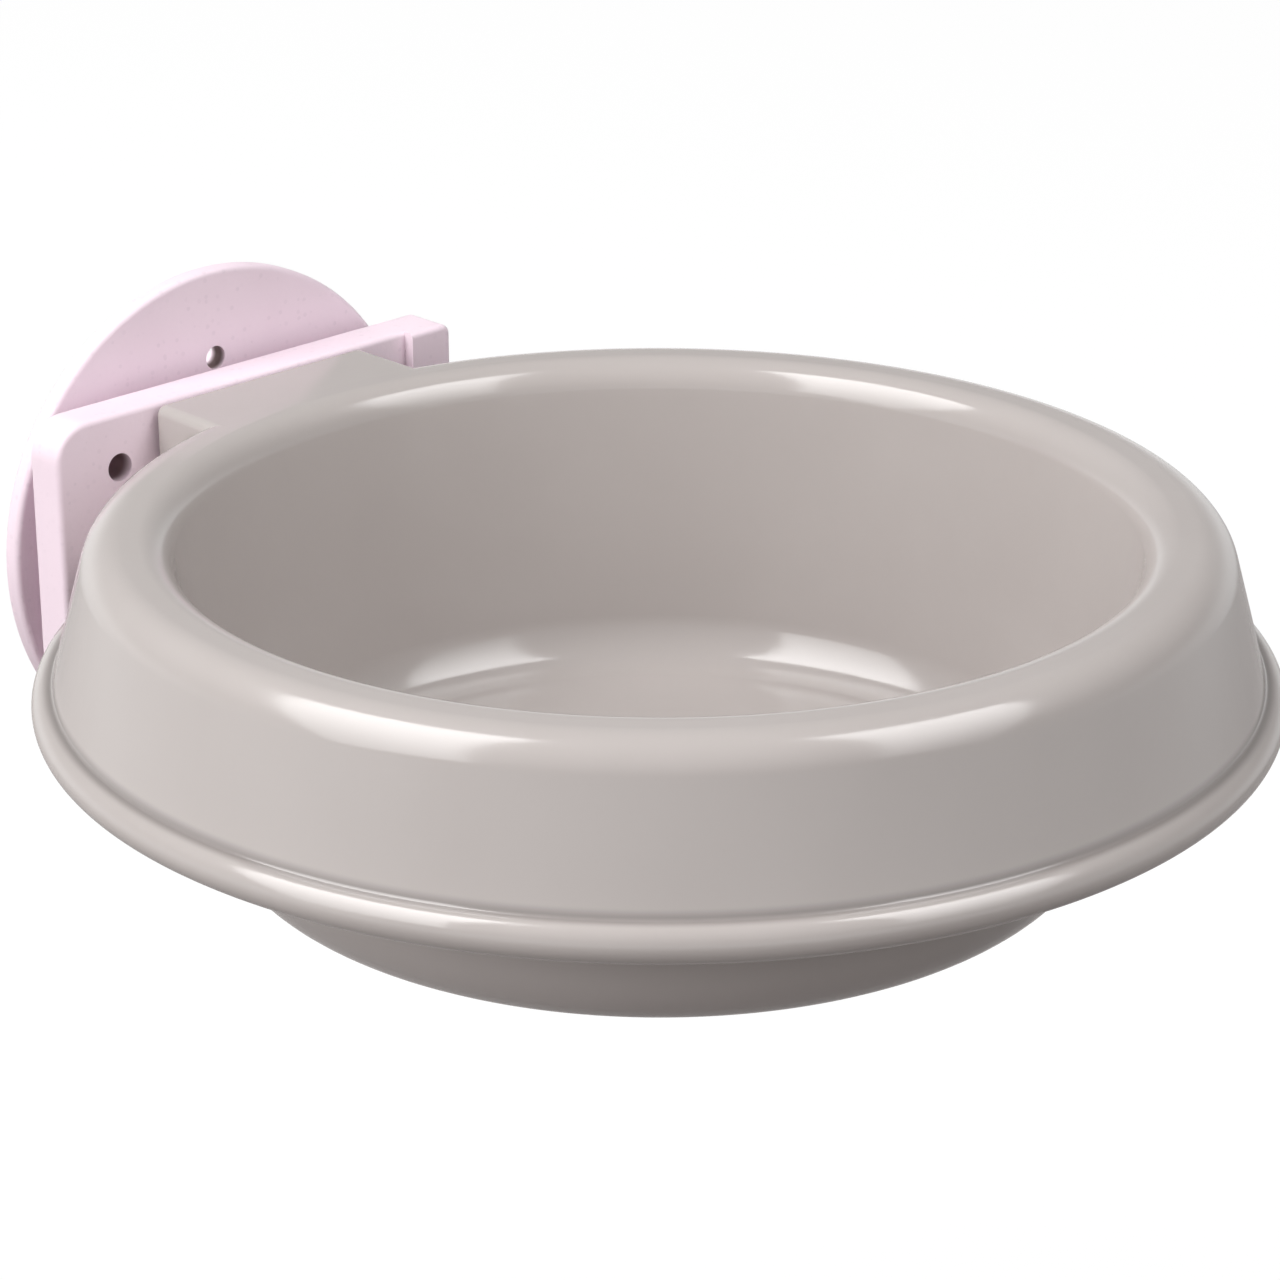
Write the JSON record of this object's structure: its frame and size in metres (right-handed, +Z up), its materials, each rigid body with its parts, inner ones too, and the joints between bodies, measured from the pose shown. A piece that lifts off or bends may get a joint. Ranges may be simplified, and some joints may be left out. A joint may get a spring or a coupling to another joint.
{
  "type": "crate dog bowl",
  "caption": "Round pet bowl with a flared skirt that hangs by a hollow hanger on a hooked bracket plate, clamped to crate wires by a disc, bolt and wing nut.",
  "frame": {"origin": "on the bolt axis, at the face of the bracket plate that clamps the crate wires", "axes": "+Y along the bolt, out of the crate, from the plate to the disc; +Z up; +X to the right as seen from inside the crate, looking along +Y"},
  "size_m": [0.16, 0.1976, 0.0724],
  "materials": {
    "bowl_plastic": "glossy warm grey moulded plastic",
    "bracket_plastic": "satin white plastic with a pale lilac tint and a faint speckle",
    "zinc_steel": "bright zinc plate",
    "brass": "machined brass"
  },
  "bodies": {
    "bracket": {"mounting_plate": "bracket_plastic", "clamp_bolt": "zinc_steel"},
    "bowl": {"bowl": "bowl_plastic"},
    "clamp": {"clamp_disc": "bracket_plastic", "washer": "zinc_steel"},
    "nut": {"wing_nut": "bracket_plastic", "nut_insert": "brass"}
  },
  "joints": [
    {"name": "bowl_lift", "type": "slide", "parent": "bracket", "child": "bowl", "axis": [0, 0, 1], "range_m": [0, 0.04]},
    {"name": "disc_slide", "type": "slide", "parent": "bracket", "child": "clamp", "axis": [0, 1, 0], "range_m": [-0.0025, 0.008]},
    {"name": "nut_turn", "type": "hinge", "parent": "clamp", "child": "nut", "pos_m": [0, 0, 0], "axis": [0, 1, 0], "range_deg": [-900, 2880]}
  ],
  "couplings": [
    {"joint": "disc_slide", "follows": "nut_turn", "m_per_rad": 0.00015915}
  ]
}
